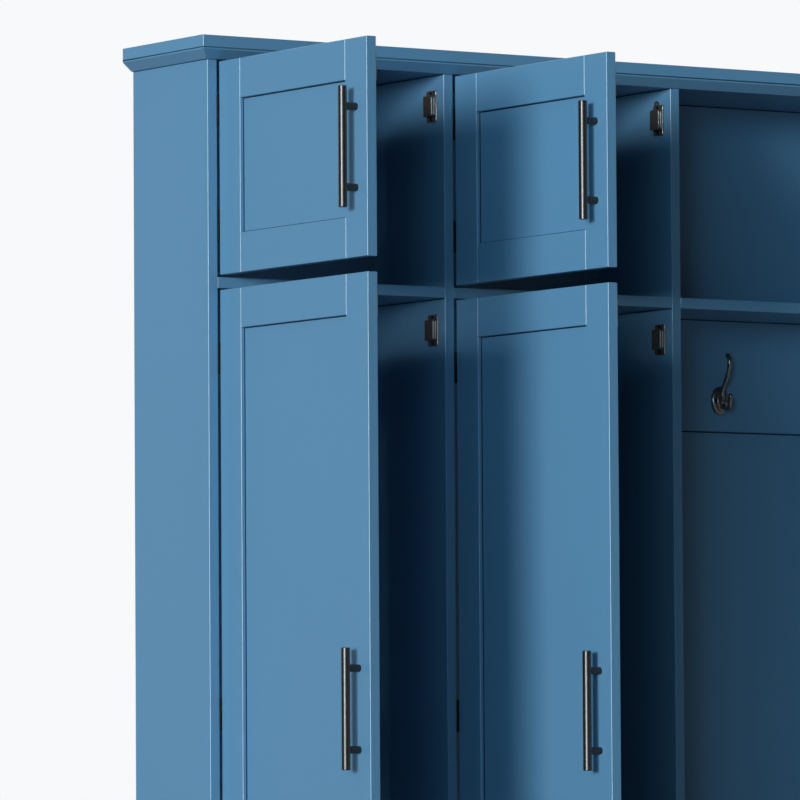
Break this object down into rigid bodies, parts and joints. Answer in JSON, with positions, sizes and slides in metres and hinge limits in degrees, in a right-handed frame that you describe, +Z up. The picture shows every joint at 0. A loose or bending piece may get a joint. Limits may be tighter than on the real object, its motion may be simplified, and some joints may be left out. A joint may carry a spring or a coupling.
{
  "type": "hall tree",
  "caption": "Shallow painted hall tree with framed doors on butt hinges over closed columns, beside an open coat bay with a hook rail, top cubby, bench and shoe shelves under a moulded crown.",
  "frame": {"origin": "On the floor at the centre of the carcass footprint, under the bay divider", "axes": "+X to the right seen from the front, +Y to the back and the wall, +Z up; doors rest open at 90 degrees as in the picture"},
  "size_m": [1.898, 0.6716, 1.8826],
  "materials": {
    "painted_board": "satin blue paint",
    "black_hardware": "semi-gloss black",
    "black_cast_hook": "semi-gloss black",
    "black_plastic": "satin black",
    "steel_plate": "plain steel"
  },
  "bodies": {
    "carcass": {"left_side_panel": "painted_board", "column_divider": "painted_board", "bay_divider": "painted_board", "right_side_panel": "painted_board", "top_panel": "painted_board", "left_floor_panel": "painted_board", "left_shelf": "painted_board", "middle_floor_panel": "painted_board", "middle_shelf": "painted_board", "bay_floor_panel": "painted_board", "bay_shelf": "painted_board", "left_back_panel": "painted_board", "middle_back_panel": "painted_board", "bay_back_panel": "painted_board", "toe_kicks": "painted_board", "bench_top": "painted_board", "bench_divider": "painted_board", "left_shoe_shelf": "painted_board", "right_shoe_shelf": "painted_board", "crown_board": "painted_board", "crown_moulding_left": "painted_board", "crown_moulding_front": "painted_board", "crown_moulding_right": "painted_board", "hook_rail": "painted_board", "coat_hooks": "black_cast_hook", "frame_hinge_leaves": "black_hardware", "hinge_pins": "black_hardware", "catch_housings": "black_plastic", "catch_pole_plates": "steel_plate"},
    "left_upper_door": {"left_upper_door_hinge_stile": "painted_board", "left_upper_door_latch_stile": "painted_board", "left_upper_door_rails": "painted_board", "left_upper_door_panel": "painted_board", "left_upper_door_bar_pull": "black_hardware", "left_upper_door_strike_plate": "steel_plate", "left_upper_door_hinge_leaves": "black_hardware"},
    "left_tall_door": {"left_tall_door_hinge_stile": "painted_board", "left_tall_door_latch_stile": "painted_board", "left_tall_door_rails": "painted_board", "left_tall_door_panel": "painted_board", "left_tall_door_bar_pull": "black_hardware", "left_tall_door_strike_plate": "steel_plate", "left_tall_door_hinge_leaves": "black_hardware"},
    "middle_upper_door": {"middle_upper_door_hinge_stile": "painted_board", "middle_upper_door_latch_stile": "painted_board", "middle_upper_door_rails": "painted_board", "middle_upper_door_panel": "painted_board", "middle_upper_door_bar_pull": "black_hardware", "middle_upper_door_strike_plate": "steel_plate", "middle_upper_door_hinge_leaves": "black_hardware"},
    "middle_tall_door": {"middle_tall_door_hinge_stile": "painted_board", "middle_tall_door_latch_stile": "painted_board", "middle_tall_door_rails": "painted_board", "middle_tall_door_panel": "painted_board", "middle_tall_door_bar_pull": "black_hardware", "middle_tall_door_strike_plate": "steel_plate", "middle_tall_door_hinge_leaves": "black_hardware"}
  },
  "joints": [
    {"name": "left_upper_door_hinge", "type": "hinge", "parent": "carcass", "child": "left_upper_door", "pos_m": [-0.91, -0.1171, 1.6687], "axis": [0, 0, 1], "range_deg": [-85, 90]},
    {"name": "left_tall_door_hinge", "type": "hinge", "parent": "carcass", "child": "left_tall_door", "pos_m": [-0.91, -0.1171, 0.7844], "axis": [0, 0, 1], "range_deg": [-85, 90]},
    {"name": "middle_upper_door_hinge", "type": "hinge", "parent": "carcass", "child": "middle_upper_door", "pos_m": [-0.45, -0.1171, 1.6687], "axis": [0, 0, 1], "range_deg": [-20, 90]},
    {"name": "middle_tall_door_hinge", "type": "hinge", "parent": "carcass", "child": "middle_tall_door", "pos_m": [-0.45, -0.1171, 0.7844], "axis": [0, 0, 1], "range_deg": [-20, 90]}
  ]
}
